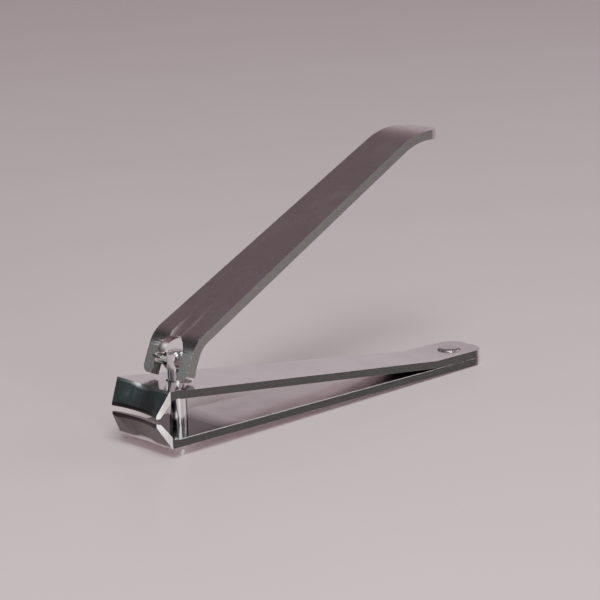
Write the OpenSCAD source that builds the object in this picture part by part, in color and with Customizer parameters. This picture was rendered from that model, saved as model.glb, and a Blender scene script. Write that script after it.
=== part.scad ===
/* [Body] */
// distance from the post's axis back to the round tail end
tail_x = 49.3; // [40:0.1:60]
// distance from the post's axis forward to the bend of the jaws
bend_d = 5.0; // [3:0.1:8]
// distance from the bend forward to the cutting edges
jaw_d = 1.8; // [1:0.1:3]
// full width at the bend of the jaws
jaw_w = 10.0; // [8:0.1:12]
// full width at the cutting edges
edge_w = 8.3; // [6:0.1:10]
// full width at the tail
tail_w = 6.4; // [5:0.1:8]
// corner radius of the tail
tail_r = 2.2; // [1:0.1:3]
// thickness of each blade
blade_t = 1.0; // [0.8:0.05:1.5]
// height of the lower blade's underside at the bend, above the table
low_h = 1.55; // [0.5:0.05:3]
// height of the upper blade's top at the bend
top_h = 8.5; // [6:0.1:11]
// height of the line where the cutting edges meet
edge_z = 5.05; // [4:0.05:6]
// opening between the cutting edges
edge_gap = 0.7; // [0.4:0.05:1.5]
// depth of the hollow grind in the middle of each jaw
grind_d = 0.42; // [0.2:0.01:0.8]
// height of the honed band along each cutting edge
hone_h = 0.6; // [0.2:0.05:0.8]
// thickness of the jaws at their cutting edges
edge_t = 0.3; // [0.15:0.05:0.6]
// where the two blades start to part, behind the post
part_x = 40.0; // [34:0.5:44]

/* [Post] */
// radius of the post's shaft
post_r = 1.1; // [0.9:0.05:1.4]
// radius of the post's foot
foot_r = 1.8; // [1.4:0.05:2.4]
// height of the post's foot
foot_h = 1.2; // [0.8:0.05:1.4]
// height of the post's top
post_top = 11.6; // [11:0.1:13]
// radius of the cross pin
pin_r = 0.45; // [0.35:0.01:0.5]
// half length of the cross pin
pin_l = 3.5; // [3:0.1:3.8]
// cross pin, distance ahead of the post's axis
pivot_d = 0.45; // [0.2:0.05:0.6]
// cross pin, height
pivot_z = 10.41; // [10:0.01:11]

/* [Rivet] */
// distance of the rivet behind the post
rivet_x = 45.5; // [42:0.1:47]
// radius of the rivet's head
rivet_head_r = 1.6; // [1.2:0.05:2]
// height of the rivet's head
rivet_head_h = 0.28; // [0.15:0.01:0.5]
// radius of the rivet's shank
rivet_r = 1.0; // [0.7:0.05:1.2]

/* [Lever] */
// thickness of the lever's sheet
lever_t = 1.2; // [0.9:0.05:1.5]
// width across the two feet
lever_w = 8.1; // [7:0.1:9]
// width near the thumb end
thumb_w = 6.2; // [5:0.1:7]
// corner radius of the thumb end
thumb_r = 2.9; // [1:0.1:3]
// position of the thumb end behind the post
thumb_x = 42.6; // [40:0.1:50]
// front foot corner, distance ahead of the post's axis
toe_d = 2.0; // [1.5:0.05:2.5]
// front foot corner, height
toe_z = 8.75; // [8.6:0.05:9.2]
// slope of the fork above the table, degrees
fork_a = 67; // [60:1:72]
// slope of the arm above the table, degrees
arm_a = 27.2; // [24:0.1:30]
// slope of the thumb end, degrees below level
thumb_a = 6; // [0:1:12]
// length of the fork, from its feet to the knee
fork_l = 4.87; // [4:0.01:6]
// length of the straight arm, from the knee to the thumb bend
arm_l = 42.4; // [36:0.05:46]
// outside radius of the knee
knee_r = 4.2; // [1.4:0.1:5]
// outside radius of the thumb bend
bow_r = 10.0; // [4:0.5:14]
// width of the window for the post
slot_w = 4.6; // [4:0.1:5]
// corner radius of the feet
toe_r = 1.0; // [0.5:0.1:1.2]
// radius of the heel that presses on the upper blade
heel_r = 0.65; // [0.5:0.05:1]
// heel centre, distance behind the cross pin
heel_d = 1.3; // [1.2:0.05:2]
// heel centre, height
heel_z = 8.69; // [8.3:0.01:8.9]

/* [Hidden] */
$fn = 96;
play = 0.04;
bend_x = -bend_d;
tip_x = -bend_d - jaw_d;
body_l = tail_x - bend_x;
jaw_in = blade_t * 2.2;
bevel = 0.1;
hone_in = 0.27;
wedge_a = 40;
arc_n = 10;
big = 80;
low_slope = atan(low_h / body_l);
grind_w = edge_w - 0.5;
bend_scoop = 0.1;
grind_rad = (grind_w * grind_w / 4 + grind_d * grind_d) / (2 * grind_d);
pivot_x = -pivot_d;
rivet_seat = 2 * blade_t + play;
web_in = 1.25;
web_out = 1.8;
boss_out = 2.9;
dent_r = 2.1;
dent_d = 0.5;
dent_a = 3.2;
u_dir = [cos(fork_a), sin(fork_a)];
a_dir = [cos(arm_a), sin(arm_a)];
e_dir = [cos(thumb_a), -sin(thumb_a)];
toe = [-toe_d, toe_z];
knee = toe + fork_l * u_dir;
bow = knee + arm_l * a_dir;
knee_cut = knee_r * tan((fork_a - arm_a) / 2);
bow_cut = bow_r * tan((arm_a + thumb_a) / 2);
knee_c = knee - knee_cut * u_dir + knee_r * [u_dir[1], -u_dir[0]];
bow_c = bow - bow_cut * a_dir + bow_r * [a_dir[1], -a_dir[0]];
tip = bow + ((thumb_x - bow[0]) / e_dir[0]) * e_dir;
heel_rel = [heel_d, heel_z - pivot_z];
heel_n = [-heel_rel[1], heel_rel[0]] / norm(heel_rel);

function low_bot(x) = low_h * (tail_x - x) / body_l;
function low_top(x) = low_bot(x) + blade_t;
function flat_top(x) = low_top(x) + play + blade_t;
function up_top(x) = x >= part_x ? flat_top(x)
    : flat_top(part_x) + (top_h - flat_top(part_x)) * (part_x - x) / (part_x - bend_x);
function arc(c, r, a0, a1) = [for (i = [0 : arc_n]) let (a = a0 + (a1 - a0) * i / arc_n)
    c + r * [-sin(a), cos(a)]];
function back(p) = [for (i = [len(p) - 1 : -1 : 0]) p[i]];

module side(w) rotate([90, 0, 0]) linear_extrude(height = w, center = true) children();

module blade_plan() linear_extrude(height = big, center = true) {
    polygon([[tip_x, -edge_w / 2], [bend_x, -jaw_w / 2], [tail_x - tail_r, -tail_w / 2],
        [tail_x - tail_r, tail_w / 2], [bend_x, jaw_w / 2], [tip_x, edge_w / 2]]);
    translate([tail_x - 2 * tail_r, -tail_w / 2 + tail_r]) square([2 * tail_r, tail_w - 2 * tail_r]);
    for (s = [-1, 1]) translate([tail_x - tail_r, s * (tail_w / 2 - tail_r)]) circle(r = tail_r);
}

module grind_tool(h) {
    lean = atan(jaw_d / h) - asin((grind_d - bend_scoop) / norm([jaw_d, h]));
    rotate([0, lean, 0]) translate([grind_d - grind_rad, 0, -2]) cylinder(r = grind_rad, h = 12, $fn = 180);
    translate([grind_d + hone_in - grind_rad, 0, -2]) cylinder(r = grind_rad, h = hone_h + 4, $fn = 180);
    difference() {
        translate([-1, -jaw_w, -0.5]) cube([jaw_in + 2, 2 * jaw_w, h - blade_t - 0.1 + 0.5]);
        rotate([0, wedge_a, 0]) translate([grind_d + hone_in - grind_rad, 0, -4])
            cylinder(r = grind_rad + edge_t, h = 14, $fn = 180);
    }
}

module lower_blade() color([0.62, 0.62, 0.64]) difference() {
    intersection() {
        side(jaw_w + 2) polygon([[tail_x, low_bot(tail_x)], [bend_x, low_bot(bend_x)],
            [tip_x, edge_z - edge_gap / 2], [tip_x + jaw_in, edge_z - edge_gap / 2 - bevel],
            [bend_x + blade_t, low_top(bend_x + blade_t)], [tail_x, low_top(tail_x)]]);
        blade_plan();
    }
    translate([tip_x, 0, edge_z - edge_gap / 2]) mirror([0, 0, 1]) grind_tool(edge_z - edge_gap / 2 - low_h);
    translate([0, 0, -1]) cylinder(r = post_r + play, h = 6);
    translate([rivet_x, 0, low_bot(rivet_x)]) rotate([0, low_slope, 0])
        translate([0, 0, -2]) cylinder(r = rivet_r + 2 * play, h = 4);
}

module upper_blade() color([0.66, 0.64, 0.66]) difference() {
    intersection() {
        side(jaw_w + 2) polygon([[tail_x, up_top(tail_x)], [part_x, up_top(part_x)], [bend_x, top_h],
            [tip_x, edge_z + edge_gap / 2], [tip_x + jaw_in, edge_z + edge_gap / 2 + bevel],
            [bend_x + blade_t, up_top(bend_x + blade_t) - blade_t],
            [part_x, up_top(part_x) - blade_t], [tail_x, up_top(tail_x) - blade_t]]);
        blade_plan();
    }
    translate([tip_x, 0, edge_z + edge_gap / 2]) grind_tool(top_h - edge_z - edge_gap / 2);
    translate([0, 0, 5]) cylinder(r = post_r + 6 * play, h = 6);
    translate([rivet_x, 0, low_bot(rivet_x)]) rotate([0, low_slope, 0]) cylinder(r = rivet_r, h = 4);
}

module tail_rivet() color([0.7, 0.7, 0.72])
    translate([rivet_x, 0, low_bot(rivet_x)]) rotate([0, low_slope, 0]) rotate_extrude()
        polygon([[0, 0.05], [rivet_r - 0.1, 0.05], [rivet_r, 0.15], [rivet_r, rivet_seat],
            [rivet_head_r, rivet_seat], [rivet_head_r, rivet_seat + 0.35 * rivet_head_h],
            [rivet_head_r - 0.18, rivet_seat + 0.8 * rivet_head_h],
            [rivet_head_r - 0.5, rivet_seat + rivet_head_h], [0, rivet_seat + rivet_head_h]]);

module post() color([0.7, 0.7, 0.72]) difference() {
    rotate_extrude() polygon([[0, 0], [foot_r - 0.2, 0], [foot_r, 0.2], [foot_r, foot_h - 0.1],
        [foot_r - 0.1, foot_h], [post_r, foot_h], [post_r, post_top - 0.4], [post_r - 0.12, post_top - 0.12],
        [post_r - 0.4, post_top], [0, post_top]]);
    translate([pivot_x, 0, pivot_z]) rotate([90, 0, 0]) cylinder(r = pin_r, h = 4, center = true);
}

module lever_pin() color([0.72, 0.72, 0.74])
    translate([pivot_x, 0, pivot_z]) rotate([90, 0, 0]) cylinder(r = pin_r, h = 2 * pin_l, center = true);

module lever_profile() polygon(concat([toe], arc(knee_c, knee_r, fork_a, arm_a),
    arc(bow_c, bow_r, arm_a, -thumb_a), [tip], [tip - lever_t * [-e_dir[1], e_dir[0]]],
    back(arc(bow_c, bow_r - lever_t, arm_a, -thumb_a)), back(arc(knee_c, knee_r - lever_t, fork_a, arm_a)),
    [toe + lever_t * [u_dir[1], -u_dir[0]]]));

module lever_plan() linear_extrude(height = big, center = true) {
    polygon([[-6, -lever_w / 2], [1, -lever_w / 2], [thumb_x - thumb_r, -thumb_w / 2],
        [thumb_x - thumb_r, thumb_w / 2], [1, lever_w / 2], [-6, lever_w / 2]]);
    translate([thumb_x - 2 * thumb_r, -thumb_w / 2 + thumb_r]) square([2 * thumb_r, thumb_w - 2 * thumb_r]);
    for (s = [-1, 1]) translate([thumb_x - thumb_r, s * (thumb_w / 2 - thumb_r)]) circle(r = thumb_r);
}

module fork_frame(depth, ahead) translate([toe[0], 0, toe[1]]) rotate([0, 90 - fork_a, 0])
    translate([-ahead, 0, 0]) rotate([90, 0, 90]) linear_extrude(height = depth) children();

module feet_shape() {
    translate([-lever_w / 2, toe_r]) square([lever_w, big]);
    translate([-lever_w / 2 + toe_r, -0.01]) square([lever_w - 2 * toe_r, big]);
    for (s = [-1, 1]) translate([s * (lever_w / 2 - toe_r), toe_r]) circle(r = toe_r);
}

module window_shape() {
    translate([-slot_w / 2, -3]) square([slot_w, fork_l + 0.2 - slot_w / 2 + 3]);
    translate([0, fork_l + 0.2 - slot_w / 2]) circle(r = slot_w / 2);
}

module web() {
    circle(r = pin_r + 0.35);
    translate(heel_rel) circle(r = heel_r);
    polygon([0.6 * heel_n, heel_rel + 0.6 * heel_n, heel_rel - 0.6 * heel_n, -0.6 * heel_n]);
}

module lever() color([0.58, 0.54, 0.55]) difference() {
    union() {
        difference() {
            intersection() {
                side(lever_w + 2) lever_profile();
                lever_plan();
                fork_frame(big, 10) feet_shape();
            }
            fork_frame(4, 1.5) window_shape();
            translate([knee[0], 0, knee[1]]) rotate([0, 90 - arm_a - dent_a, 0])
                translate([dent_d - dent_r, 0, -1]) cylinder(r = dent_r, h = 11);
        }
        for (s = [-1, 1]) translate([pivot_x, 0, pivot_z]) {
            translate([0, s * (web_in + web_out) / 2, 0]) side(web_out - web_in) web();
            translate([0, s * (web_in + boss_out) / 2, 0]) side(boss_out - web_in) circle(r = pin_r + 0.35);
        }
    }
    translate([pivot_x, 0, pivot_z]) rotate([90, 0, 0])
        cylinder(r = pin_r + play, h = 2 * pin_l + 0.1, center = true);
}

lower_blade();
upper_blade();
tail_rivet();
post();
lever_pin();
lever();
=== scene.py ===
import math

import bmesh
import bpy
from mathutils import Matrix, Vector


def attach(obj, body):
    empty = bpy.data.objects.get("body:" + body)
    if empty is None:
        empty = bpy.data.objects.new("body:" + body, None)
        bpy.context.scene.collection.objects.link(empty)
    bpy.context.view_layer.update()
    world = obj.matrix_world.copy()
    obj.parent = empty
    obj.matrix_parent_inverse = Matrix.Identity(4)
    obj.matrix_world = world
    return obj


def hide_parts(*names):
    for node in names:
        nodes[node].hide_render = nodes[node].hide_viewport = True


MM = 0.001
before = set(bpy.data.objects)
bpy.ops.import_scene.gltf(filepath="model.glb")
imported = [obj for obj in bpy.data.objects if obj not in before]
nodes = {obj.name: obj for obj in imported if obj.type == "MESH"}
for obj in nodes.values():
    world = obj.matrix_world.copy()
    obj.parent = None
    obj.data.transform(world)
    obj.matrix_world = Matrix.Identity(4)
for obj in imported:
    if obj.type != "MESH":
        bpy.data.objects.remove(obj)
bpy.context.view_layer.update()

# place of the bend of the jaws along the body, in millimetres
BEND_X = -5.0

# tones painted on faces of the jaws for light and shade: a dark painted reflection on the honed band, a
# bright painted reflection on the flanks, painted shade in the hollow and on the lower blade near the post
HONE_REFLECTION_LIGHT, HONE_REFLECTION_DARK = (0.05, 0.045, 0.045), (0.025, 0.022, 0.022)
FLANK_REFLECTION = (0.97, 0.97, 0.96)
HOLLOW_SHADE_LIGHT, HOLLOW_SHADE_DARK = (0.10, 0.11, 0.11), (0.05, 0.055, 0.055)
INNER_SHADE = (0.05, 0.055, 0.055)


def shade(color, factor=1.0):
    """A colour with its alpha, scaled and kept at or below 1."""
    return (*[min(1, c * factor) for c in color], 1)


# ---------------------------------------------------------------- materials
class Graph:
    """Small helper around a material's node tree."""

    def __init__(self, name):
        self.mat = bpy.data.materials.new(name)
        self.mat.use_nodes = True
        self.tree = self.mat.node_tree
        self.tree.nodes.clear()

    def add(self, kind, **values):
        n = self.tree.nodes.new(kind)
        for key, v in values.items():
            setattr(n, key, v)
        return n

    def put(self, socket, value):
        if isinstance(value, bpy.types.NodeSocket):
            self.tree.links.new(value, socket)
        else:
            socket.default_value = value

    def math(self, op, a, b=0.0):
        n = self.add("ShaderNodeMath", operation=op)
        self.put(n.inputs[0], a)
        self.put(n.inputs[1], b)
        return n.outputs[0]

    def parts(self, vec):
        n = self.add("ShaderNodeSeparateXYZ")
        self.put(n.inputs[0], vec)
        return n.outputs

    def stretch(self, vec, scale):
        n = self.add("ShaderNodeVectorMath", operation="MULTIPLY")
        self.put(n.inputs[0], vec)
        n.inputs[1].default_value = scale
        return n.outputs[0]

    def noise(self, vec, scale, detail=3.0, rough=0.5, distort=0.0):
        n = self.add("ShaderNodeTexNoise", noise_dimensions="3D")
        self.put(n.inputs["Vector"], vec)
        n.inputs["Scale"].default_value = scale
        n.inputs["Detail"].default_value = detail
        n.inputs["Roughness"].default_value = rough
        n.inputs["Distortion"].default_value = distort
        return n.outputs["Fac"]

    def span(self, value, a, b, c=0.0, d=1.0):
        n = self.add("ShaderNodeMapRange", clamp=True)
        self.put(n.inputs["Value"], value)
        n.inputs["From Min"].default_value = a
        n.inputs["From Max"].default_value = b
        n.inputs["To Min"].default_value = c
        n.inputs["To Max"].default_value = d
        return n.outputs["Result"]

    def mix(self, fac, a, b):
        n = self.add("ShaderNodeMix", data_type="RGBA")
        self.put(n.inputs["Factor"], fac)
        self.put(n.inputs["A"], a)
        self.put(n.inputs["B"], b)
        return n.outputs["Result"]

    def blend(self, fac, a, b):
        n = self.add("ShaderNodeMix", data_type="FLOAT")
        self.put(n.inputs[0], fac)
        self.put(n.inputs[2], a)
        self.put(n.inputs[3], b)
        return n.outputs[0]


def steel(name, color, rough, brush, side=None, jaw=None, smudge=0.5, scratches=0.5):
    """Polished or brushed steel. brush is the stretch of the brushing in lines per millimetre along X, Y, Z.
    side is a dark tone painted as shade on the sheared sheet edges, over their rough burr; jaw gives the
    cross-ground face of the cutting jaws its grinding marks and a dark painted reflection, with painted
    reflections on the honed band and flanks and painted shade in the hollow and near the post."""
    g = Graph(name)
    coord = g.add("ShaderNodeTexCoord").outputs["Object"]
    normal = g.parts(g.add("ShaderNodeNewGeometry").outputs["True Normal"])
    place = g.parts(coord)
    per_mm = g.stretch(coord, (1 / MM,) * 3)

    def facing(axis, start, full):
        """0 to 1 as a face turns to look along an axis, either way."""
        return g.span(g.math("ABSOLUTE", normal[axis]), start, full)

    def placed(axis, start, full):
        """0 to 1 as the place along an axis goes from start to full, in millimetres."""
        return g.span(place[axis], start * MM, full * MM)

    lines = g.noise(g.stretch(coord, [b / MM for b in brush]), 1.0, 4.0, 0.62)
    cloud = g.noise(per_mm, 0.22, 5.0, 0.6, 0.4)
    spots = g.noise(per_mm, 1.7, 6.0, 0.68)
    grain = g.noise(per_mm, 22.0, 2.0, 0.5)
    long_scratch = g.span(g.noise(g.stretch(coord, (110, 2600, 2600)), 1.0, 2.0, 0.8, 0.6), 0.66, 0.7)
    skew = g.add("ShaderNodeVectorRotate", rotation_type="AXIS_ANGLE")
    g.put(skew.inputs["Vector"], coord)
    skew.inputs["Axis"].default_value = (0.2, 0.1, 1.0)
    skew.inputs["Angle"].default_value = 0.55
    cross_lines = g.noise(g.stretch(skew.outputs[0], (160, 3100, 3100)), 1.0, 2.0, 0.8, 0.5)
    cross_scratch = g.span(cross_lines, 0.69, 0.73)
    scratch = g.math("MULTIPLY", g.math("MAXIMUM", long_scratch, cross_scratch), scratches)

    roughness = g.blend(lines, rough * 0.75, rough * 1.3)
    roughness = g.math("ADD", roughness, g.span(cloud, 0.42, 0.72, 0.0, 0.16 * smudge))
    roughness = g.math("ADD", roughness, g.span(spots, 0.58, 0.78, 0.0, 0.12 * smudge))
    roughness = g.math("ADD", roughness, g.math("MULTIPLY", scratch, 0.12))
    tone = g.mix(g.span(cloud, 0.3, 0.75), shade(color), shade(color, 0.86))
    tone = g.mix(g.math("MULTIPLY", g.span(lines, 0.35, 0.65), 0.35), tone, shade(color, 0.78))
    tone = g.mix(g.math("MULTIPLY", scratch, 0.5), tone, shade(color, 1.2))
    height = g.math("MULTIPLY", lines, 0.5)
    height = g.math("SUBTRACT", height, g.math("MULTIPLY", scratch, 0.6))
    height = g.math("ADD", height, g.math("MULTIPLY", spots, 0.35))
    if side:
        # painted shade: a dark tone on the sheared sheet edges, over the rough burr they really have
        sheared = facing("Y", 0.93, 0.985)
        burr = g.noise(g.stretch(coord, (1500, 400, 9000)), 1.0, 4.0, 0.65)
        tone = g.mix(sheared, tone, g.mix(burr, shade(side), shade(side, 0.55)))
        roughness = g.blend(sheared, roughness, g.span(burr, 0.3, 0.7, 0.22, 0.42))
        height = g.blend(sheared, height, burr)
    if jaw:
        # the ground face ahead of the bend, with its marks running up and down, and a dark tone painted on
        # it as a reflection
        ahead = placed("X", BEND_X - 0.02, BEND_X - 0.2)
        ground = g.math("MULTIPLY", ahead, facing("X", 0.55, 0.7))
        marks = g.noise(g.stretch(coord, (500, 11000, 380)), 1.0, 5.0, 0.7)
        tone = g.mix(ground, tone, g.mix(g.span(marks, 0.3, 0.7), shade(jaw), shade(jaw, 0.5)))
        roughness = g.blend(ground, roughness, g.span(marks, 0.3, 0.7, 0.24, 0.44))
        # the upright honed band along the cutting edge, with a dark painted reflection
        honed_reflection = g.math("MULTIPLY", ahead, facing("X", 0.94, 0.965))
        tone = g.mix(honed_reflection, tone, g.mix(marks, shade(HONE_REFLECTION_LIGHT), shade(HONE_REFLECTION_DARK)))
        # the slanting flank at each side of the jaw, with a bright painted reflection
        flank = g.math("MULTIPLY", facing("Y", 0.7, 0.76), facing("Y", 0.985, 0.95))
        flank = g.math("MULTIPLY", flank, placed("X", BEND_X + 0.1, BEND_X))
        tone = g.mix(flank, tone, shade(FLANK_REFLECTION))
        roughness = g.blend(flank, roughness, g.span(marks, 0.3, 0.7, 0.26, 0.40))
        # the back of the jaw, between the blades, with painted shade
        hollow = g.math("MULTIPLY", g.span(normal["X"], 0.3, 0.5), placed("X", BEND_X + 0.8, BEND_X + 0.5))
        tone = g.mix(hollow, tone, g.mix(marks, shade(HOLLOW_SHADE_LIGHT), shade(HOLLOW_SHADE_DARK)))
        roughness = g.blend(hollow, roughness, 0.4)
        # the lower blade's upper face, near the post, with painted shade
        inner_shade = g.math("MULTIPLY", g.span(normal["Z"], 0.8, 0.9), placed("Z", 5.0, 4.6))
        inner_shade = g.math("MULTIPLY", inner_shade, placed("X", 6.0, 2.5))
        tone = g.mix(inner_shade, tone, shade(INNER_SHADE))
        height = g.blend(ground, height, g.math("MULTIPLY", marks, 2.2))
    bump = g.add("ShaderNodeBump")
    bump.inputs["Strength"].default_value = 0.35
    bump.inputs["Distance"].default_value = 0.008 * MM
    g.put(bump.inputs["Height"], g.math("ADD", height, g.math("MULTIPLY", grain, 0.12)))
    bsdf = g.add("ShaderNodeBsdfPrincipled")
    bsdf.inputs["Metallic"].default_value = 1.0
    g.put(bsdf.inputs["Base Color"], tone)
    g.put(bsdf.inputs["Roughness"], roughness)
    g.put(bsdf.inputs["Normal"], bump.outputs[0])
    g.put(g.add("ShaderNodeOutputMaterial").inputs["Surface"], bsdf.outputs[0])
    return g.mat


# ---------------------------------------------------------------- CAD pieces, softened edges
MERGE_MM = 0.002
FLAT_DEG = 0.6
SHARP_DEG = 24


def softened(name, body, mat, width, angle=28, segments=3):
    """A copy of a CAD node's shape with small rounded edges and smooth shading, standing for the node.
    Edges that turn by more than angle degrees are rounded over width millimetres."""
    bm = bmesh.new()
    bm.from_mesh(nodes[name].data)
    bmesh.ops.remove_doubles(bm, verts=bm.verts, dist=MERGE_MM * MM)
    bmesh.ops.dissolve_limit(bm, angle_limit=math.radians(FLAT_DEG), verts=bm.verts, edges=bm.edges)
    sharp = [e for e in bm.edges if len(e.link_faces) == 2 and e.calc_face_angle(0) > math.radians(angle)]
    bmesh.ops.bevel(bm, geom=sharp, offset=width * MM, offset_type="OFFSET", segments=segments,
                    profile=0.5, affect="EDGES", clamp_overlap=True)
    for f in bm.faces:
        f.smooth = True
    me = bpy.data.meshes.new(name + "_shape")
    bm.to_mesh(me)
    bm.free()
    me.materials.append(mat)
    me.set_sharp_from_angle(angle=math.radians(SHARP_DEG))
    ob = bpy.data.objects.new(name + "_visual", me)
    bpy.context.scene.collection.objects.link(ob)
    normals = ob.modifiers.new("normals", "WEIGHTED_NORMAL")
    normals.keep_sharp = True
    normals.weight = 80
    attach(ob, body)
    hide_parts(name)


# side and jaw colours are dark tones: painted shade on the sheared edges and a painted dark reflection on
# the jaws' ground faces
blade_top = steel("polished_blade_upper", (0.74, 0.70, 0.72), 0.10, (0.25, 14, 14),
                  side=(0.10, 0.11, 0.105), jaw=(0.17, 0.19, 0.195), smudge=0.5, scratches=0.6)
blade_low = steel("polished_blade_lower", (0.70, 0.66, 0.67), 0.12, (0.25, 14, 14),
                  side=(0.09, 0.10, 0.095), jaw=(0.12, 0.125, 0.12), smudge=0.7, scratches=0.6)
lever_mat = steel("satin_lever", (0.60, 0.53, 0.54), 0.22, (0.2, 11, 11),
                  side=(0.22, 0.24, 0.22), smudge=0.8, scratches=0.5)
post_mat = steel("turned_post", (0.72, 0.72, 0.73), 0.13, (3, 3, 16), smudge=0.4, scratches=0.2)
pin_mat = steel("drawn_pin", (0.68, 0.68, 0.68), 0.24, (5, 0.4, 5), smudge=0.4, scratches=0.2)
rivet_mat = steel("pressed_rivet", (0.72, 0.70, 0.71), 0.16, (6, 6, 6), smudge=0.6, scratches=0.4)

softened("lower_blade", "lower_body", blade_low, 0.07)
softened("upper_blade", "upper_body", blade_top, 0.07)
softened("lever", "lever_body", lever_mat, 0.18, angle=30, segments=4)
softened("post", "post_body", post_mat, 0.04, angle=40)
softened("tail_rivet", "upper_body", rivet_mat, 0.03, angle=60)
softened("lever_pin", "post_body", pin_mat, 0.05, angle=40)


# ---------------------------------------------------------------- floor
def plane(name, size, location, mat):
    bm = bmesh.new()
    bmesh.ops.create_grid(bm, x_segments=1, y_segments=1, size=size)
    me = bpy.data.meshes.new(name)
    bm.to_mesh(me)
    bm.free()
    me.materials.append(mat)
    ob = bpy.data.objects.new(name, me)
    ob.location = location
    bpy.context.scene.collection.objects.link(ob)


g = Graph("pale_floor")
coord = g.add("ShaderNodeTexCoord").outputs["Object"]
bsdf = g.add("ShaderNodeBsdfPrincipled")
g.put(bsdf.inputs["Base Color"], g.mix(g.noise(coord, 30.0), (0.66, 0.54, 0.56, 1), (0.61, 0.50, 0.52, 1)))
bsdf.inputs["Roughness"].default_value = 0.34
g.put(g.add("ShaderNodeOutputMaterial").inputs["Surface"], bsdf.outputs[0])
plane("floor", 3.0, (0, 0, -0.02 * MM), g.mat)

# ---------------------------------------------------------------- studio surroundings and lamps
HORIZON, HORIZON_Z = (0.74, 0.58, 0.63, 1), 0.08
ZENITH, ZENITH_Z = (0.20, 0.16, 0.17, 1), 0.55
# a dark card that the fork and the jaws mirror: its direction, its tone, and its soft edge as cosines
CARD_WAY, CARD_TONE = (-0.623, 0.753, 0.211), (0.062, 0.066, 0.066, 1)
CARD_OUTER, CARD_INNER = 0.70, 0.88

world = bpy.data.worlds.new("studio")
bpy.context.scene.world = world
world.use_nodes = True
sky = world.node_tree
sky_coord = sky.nodes.new("ShaderNodeTexCoord")
sky_split = sky.nodes.new("ShaderNodeSeparateXYZ")
sky_ramp = sky.nodes.new("ShaderNodeValToRGB")
sky.links.new(sky_coord.outputs["Generated"], sky_split.inputs[0])
sky.links.new(sky_split.outputs["Z"], sky_ramp.inputs[0])
for stop, color, position in zip(sky_ramp.color_ramp.elements, (HORIZON, ZENITH), (HORIZON_Z, ZENITH_Z)):
    stop.color = color
    stop.position = position
sky_dot = sky.nodes.new("ShaderNodeVectorMath")
sky_dot.operation = "DOT_PRODUCT"
sky_dot.inputs[1].default_value = CARD_WAY
sky_card = sky.nodes.new("ShaderNodeMapRange")
sky_card.inputs["From Min"].default_value = CARD_OUTER
sky_card.inputs["From Max"].default_value = CARD_INNER
sky_dark = sky.nodes.new("ShaderNodeMix")
sky_dark.data_type = "RGBA"
sky_dark.inputs["B"].default_value = CARD_TONE
sky.links.new(sky_coord.outputs["Generated"], sky_dot.inputs[0])
sky.links.new(sky_dot.outputs["Value"], sky_card.inputs["Value"])
sky.links.new(sky_card.outputs["Result"], sky_dark.inputs["Factor"])
sky.links.new(sky_ramp.outputs[0], sky_dark.inputs["A"])
sky.links.new(sky_dark.outputs["Result"], sky.nodes["Background"].inputs["Color"])
sky.nodes["Background"].inputs["Strength"].default_value = 1.0


def lamp(name, location, target, size, power, color=(1, 1, 1)):
    data = bpy.data.lights.new(name, "AREA")
    data.shape = "RECTANGLE"
    data.size, data.size_y = size
    data.energy = power
    data.color = color
    ob = bpy.data.objects.new(name, data)
    ob.location = location
    ob.rotation_euler = (Vector(target) - Vector(location)).to_track_quat("-Z", "Y").to_euler()
    bpy.context.scene.collection.objects.link(ob)


lamp("key", (-0.22, -0.30, 0.42), (0.015, 0, 0.01), (0.22, 0.22), 4.2, (1.0, 0.97, 0.95))
lamp("fill", (0.35, -0.25, 0.25), (0.015, 0, 0.01), (0.25, 0.25), 0.7, (0.92, 0.96, 1.0))
lamp("rim", (-0.30, 0.30, 0.17), (0.0, 0, 0.01), (0.05, 0.10), 0.03, (0.88, 1.0, 0.98))
lamp("low", (-0.096, -0.276, 0.04), (-0.006, 0, 0.005), (0.05, 0.06), 0.9)

# ---------------------------------------------------------------- camera
CAMERA_MM = (-169.01, -215.24, 86.55)
YAW_DEG, PITCH_DEG, ROLL_DEG = 41.269, -14.260, -2.146
SENSOR_MM, FOCAL_PX, IMAGE_PX = 36, 2400, 600

yaw, pitch, roll = math.radians(YAW_DEG), math.radians(PITCH_DEG), math.radians(ROLL_DEG)
ahead = Vector((math.sin(yaw) * math.cos(pitch), math.cos(yaw) * math.cos(pitch), math.sin(pitch)))
right = Vector((math.cos(yaw), -math.sin(yaw), 0))
up = right.cross(ahead)
right_r = math.cos(roll) * right + math.sin(roll) * up
up_r = -math.sin(roll) * right + math.cos(roll) * up
cam_data = bpy.data.cameras.new("camera")
cam = bpy.data.objects.new("camera", cam_data)
turn = Matrix((right_r, up_r, -ahead)).transposed().to_4x4()
cam.matrix_world = Matrix.Translation(Vector(CAMERA_MM) * MM) @ turn
cam_data.sensor_width = SENSOR_MM
cam_data.lens = SENSOR_MM * FOCAL_PX / IMAGE_PX
cam_data.clip_start, cam_data.clip_end = 0.01, 20
bpy.context.scene.collection.objects.link(cam)
bpy.context.scene.camera = cam
